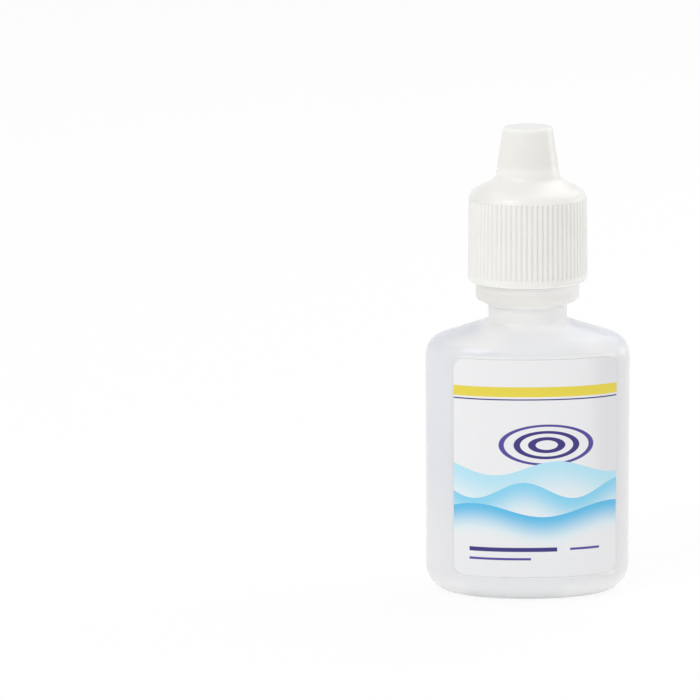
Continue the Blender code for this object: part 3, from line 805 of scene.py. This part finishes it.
def milky_polyethylene():
    """Cloudy natural plastic, darker in the heel's middle where something shows through the wall.

    Painted light and shade lie over its tint. Painted light makes the wall paler beside the label's top and
    foot, where the film takes light out of the plastic, and paler in the heel.
    """
    finish = plastic("milky polyethylene", 1.51, 1.2 * MM)
    spot, x, y, z = finish.place()
    # Where the neck's and bead's tints lie, with their painted light and shade.
    neck, bead = z.step(44.8, 46.4) * (1 - abs(x).step(5.4, 7.4)), z.step(49.0, 49.4)
    # Painted light in the heel, palest at the foot; the heel's darker middle is what shows through the
    # wall.
    heel, heel_middle = 1 - z.step(1.5, 4.5), (1 - z.step(3.6, 4.6)) * (1 - abs(x + 2.4).step(7.2, 9.2))
    heel_painted_light = finish.mix(z.step(0.4, 2.0), colour(0.97, 0.97, 0.975), colour(0.93, 0.93, 0.935))
    # Painted light beside the label's top and foot, against the shade where the film takes light out of the
    # plastic.
    label_edges = z.band((40.7, 41.0), (41.5, 42.0)) + z.band((3.8, 4.1), (4.4, 4.7))
    beside_label = label_edges * x.band((-12.8, -10.0), (13.6, 15.0)) * (1 - y.step(-6.0, -4.0))
    label_edge_painted_light = finish.mix(x.step(0.0, 8.0), colour(0.955, 0.955, 0.96), colour(0.985, 0.985, 0.985))
    tint = finish.layers(
        wall_tint_and_painted_light(finish, spot, x, y, z),
        (neck, neck_tint_and_painted_light(finish, x, z)),
        (bead, bead_tint_and_painted_light(finish, x, z)),
        (heel, heel_painted_light),
        (heel_middle * 0.8, colour(0.835, 0.852, 0.86)),
        (beside_label, label_edge_painted_light),
    )
    finish.set("Base Color", tint)
    finish.set("Roughness", GLOSSY + GLOSSY_SPREAD * finish.noise(spot, 0.5, 2.0))
    skin = finish.noise(spot, 1.6, 2.0) + 0.4 * finish.noise(spot, 7.0, 1.0)
    parting_line = (1 - abs(y).step(0.03, 0.16)) * (1 - z.step(47.4, 48.4))
    finish.bump(0.1 * skin + 0.5 * parting_line, 1.0, 0.05 * MM)
    return finish.material


def natural_polyethylene():
    """The tip's plastic, less glossy and more even than the bottle's."""
    finish = plastic("natural polyethylene", 1.51, 1.2 * MM)
    spot, *_ = finish.place()
    cloud = finish.noise(spot, 0.5, 2.0)
    finish.set("Base Color", finish.mix(cloud, colour(0.80, 0.81, 0.81), colour(0.85, 0.86, 0.855)))
    finish.set("Roughness", SATIN + 0.1 * cloud)
    finish.bump(finish.noise(spot, 4.0, 2.0), 0.1, 0.03 * MM)
    return finish.material


def white_polypropylene():
    """Warm white moulded plastic with a fine skin.

    Painted shade makes the nose greyer than the skirt, most of all on its top, and the dome's sides too.
    Painted light makes the rim paler, and painted highlights pale the nose's root and its front edge.
    """
    finish = plastic("white polypropylene", 1.49, 0.9 * MM)
    spot, x, _, z = finish.place()
    cloud = finish.noise(spot, 0.2, 2.0).step(*CLOUD)
    # Painted light on the rim, painted shade over the nose, and a painted highlight at the nose's root.
    rim, nose, nose_root_painted_highlight = 1 - z.step(53.35, 53.6), z.step(68.6, 70.8), 1 - z.step(71.6, 73.4)
    # A painted highlight at the nose's front edge, and painted shade on its top.
    nose_edge_painted_highlight, nose_top = z.step(78.2, 78.7), z.step(78.95, 79.1)
    # Painted shade on the dome's sides, above the ribs.
    above_ribs = (z - 1.6 * x.step(-5.0, 5.0)).step(66.4, 67.4)
    dome_sides_painted_shade = abs(x).step(5.0, 8.5) * above_ribs * (1 - z.step(70.0, 71.0))
    skirt_tint_and_painted_light = finish.layers(
        finish.mix(cloud, colour(0.860, 0.848, 0.811), colour(0.875, 0.866, 0.831)),
        (rim, colour(0.98, 0.97, 0.945)),
    )
    nose_tint_and_painted_light = finish.layers(
        finish.mix(cloud, colour(0.825, 0.812, 0.775), colour(0.84, 0.83, 0.795)),
        (nose_root_painted_highlight, colour(0.895, 0.885, 0.85)),
        (nose_edge_painted_highlight, colour(0.87, 0.86, 0.825)),
        (nose_top, colour(0.735, 0.73, 0.71)),
    )
    tint = finish.layers(skirt_tint_and_painted_light, (nose, nose_tint_and_painted_light), (dome_sides_painted_shade, colour(0.80, 0.79, 0.765)))
    finish.set("Base Color", tint)
    finish.set("Roughness", GLOSSY + GLOSSY_SPREAD * finish.noise(spot, 0.9, 3.0))
    finish.bump(finish.noise(spot, 5.0, 3.0), 0.08, 0.02 * MM)
    return finish.material


def label_film(width, height):
    """White film with a generic print, laid out in millimetres from the middle of its foot.

    The print is a yellow stripe, ripples, layers of pale water and dark blue rules. A greyer patch at the
    upper right is painted shade.
    """
    finish = Finish("label film", IOR=1.5)
    flat = finish.node("UVMap", {"uv_map": "unrolled"})
    u, v, _ = finish.split(flat)
    x, y = (u - 0.5) * width, v * height
    flat_spot = finish.join(x, y, 0.0)
    paper = finish.noise(flat_spot, 0.3, 3.0)
    indigo, violet = colour(0.030, 0.022, 0.20), colour(0.075, 0.055, 0.32)
    soft_edge = 0.04
    # Painted shade: a greyer patch at the film's upper right.
    upper_right_painted_shade = x.step(7.5, 12.0) * y.step(6.5, 18.5)
    layers = [(upper_right_painted_shade, colour(0.775, 0.773, 0.79))]

    middle_x, middle_y, flatness = 1.6, 22.6, 2.3
    distance = ((x - middle_x) ** 2.0 + ((y - middle_y) * flatness) ** 2.0) ** 0.5
    for radius, stroke, tone in ((7.6, 0.42, violet), (5.0, 0.52, indigo), (2.5, 0.62, indigo)):
        off_line = abs(distance - radius).step(stroke - soft_edge, stroke + 2 * soft_edge)
        layers.append((1 - off_line, tone))

    for level, lift, length, phase, fade, near, far in (
        (18.6, 1.2, 21.0, 0.6, 6.5, colour(0.46, 0.77, 0.90), colour(0.80, 0.86, 0.89)),
        (14.8, 1.4, 17.0, 2.4, 5.5, colour(0.24, 0.64, 0.86), colour(0.76, 0.85, 0.89)),
        (11.4, 1.1, 23.0, 4.4, 4.6, colour(0.10, 0.50, 0.80), colour(0.74, 0.85, 0.89)),
    ):
        depth = level + lift * (x * (2 * np.pi / length) + phase).sine() - y
        water = finish.mix(depth.step(0.0, fade), near, far)
        layers.append((depth.band((-soft_edge, soft_edge), (0.7 * fade, 1.25 * fade)), water))

    for centre_x, centre_y, half_length, half_height, tone in (
        (0.0, 31.6, 40.0, 0.85, colour(0.80, 0.66, 0.06)),
        (0.0, 30.3, 40.0, 0.11, indigo),
        (-4.0, 4.7, 7.4, 0.36, indigo),
        (-6.2, 3.1, 5.2, 0.20, violet),
        (8.2, 4.7, 2.6, 0.20, violet),
    ):
        outside = (abs(x - centre_x) - half_length).most(abs(y - centre_y) - half_height)
        layers.append((1 - outside.step(-soft_edge, soft_edge), tone))

    white = finish.mix(paper, colour(0.835, 0.838, 0.85), colour(0.855, 0.855, 0.865))
    finish.set("Base Color", finish.layers(white, *layers))
    finish.set("Roughness", SATIN + 0.08 * paper)
    finish.bump(finish.noise(flat_spot, 2.5, 2.0), 0.06, 0.02 * MM)
    return finish.material


# Stage
def stage_finish():
    """A pale floor: most of what the camera and gloss see is plain white, and the rest keeps the shadow."""
    finish = Finish("pale floor", Roughness=0.8)
    finish.set("Base Color", colour(0.95, 0.95, 0.95))
    glow = finish.node("Emission", None, {"Color": colour(1, 1, 1), "Strength": 1.0})
    lit = Value(finish, finish.shader.outputs[0])
    mixed = finish.node("MixShader", None, {0: finish.seen() * FLOOR_WHITE, 1: lit, 2: glow})
    finish.plug(finish.tree.nodes["Material Output"].inputs["Surface"], mixed)
    return finish.material


def make_floor():
    """A square just under the bottle's foot. It belongs to the stage and not to the part."""
    half, height = FLOOR_HALF, -FLOOR_DROP
    corners = [(-half, -half, height), (half, -half, height), (half, half, height), (-half, half, height)]
    mesh = bpy.data.meshes.new("floor")
    mesh.from_pydata(corners, [], [(0, 1, 2, 3)])
    mesh.materials.append(stage_finish())
    floor = add_object("floor", mesh)


def make_lamps():
    """Square soft boxes, each turned to the middle of the bottle."""
    for name, place, size, power in LAMPS:
        data = bpy.data.lights.new(name, "AREA")
        data.size = size
        data.energy = power
        lamp = add_object(name, data)
        lamp.location = place
        aim = Vector((0, 0, LIP / 2)) - lamp.location
        lamp.rotation_euler = aim.to_track_quat("-Z", "Y").to_euler()


def make_world():
    """White for the camera, glass and gloss, and a plainer grey-white as the light of the room."""
    world = bpy.data.worlds.new("studio")
    bpy.context.scene.world = world
    world.use_nodes = True
    shading = Shading(world.node_tree)
    back = shading.tree.nodes["Background"]
    shading.plug(back.inputs["Color"], colour(1, 1, 1))
    shading.plug(back.inputs["Strength"], ROOM_LEVEL + (1 - ROOM_LEVEL) * shading.seen())


def make_camera():
    """The photograph's view: a long lens, level but pitched down, with the base's middle at its pixel."""
    forward = Vector((0, np.cos(CAMERA_PITCH), -np.sin(CAMERA_PITCH)))
    roll = Matrix.Rotation(CAMERA_ROLL, 3, forward)
    up = roll @ Vector((0, np.sin(CAMERA_PITCH), np.cos(CAMERA_PITCH)))
    right = roll @ Vector((1, 0, 0))
    across = (BASE_PIXEL[0] - FRAME_PIXELS / 2) / FOCAL_PIXELS * CAMERA_DEPTH
    below = (BASE_PIXEL[1] - FRAME_PIXELS / 2) / FOCAL_PIXELS * CAMERA_DEPTH
    place = -(forward * CAMERA_DEPTH + right * across - up * below)
    turn = Matrix.Rotation(CAMERA_YAW, 4, "Z")
    stand = Matrix((right, up, -forward)).transposed().to_4x4()
    data = bpy.data.cameras.new("camera")
    data.sensor_width = SENSOR
    data.lens = FOCAL_PIXELS / FRAME_PIXELS * SENSOR
    data.clip_start, data.clip_end = NEAREST, FARTHEST
    camera = add_object("camera", data)
    camera.matrix_world = turn @ Matrix.Translation(place) @ stand
    bpy.context.scene.camera = camera


make_camera()
make_world()
make_floor()
make_lamps()
milky = milky_polyethylene()
white = white_polypropylene()
make_bottle(milky)
make_tip(natural_polyethylene())
make_cap(white)
make_threads(milky, white)
make_label()
bpy.context.scene.view_settings.view_transform = "Standard"
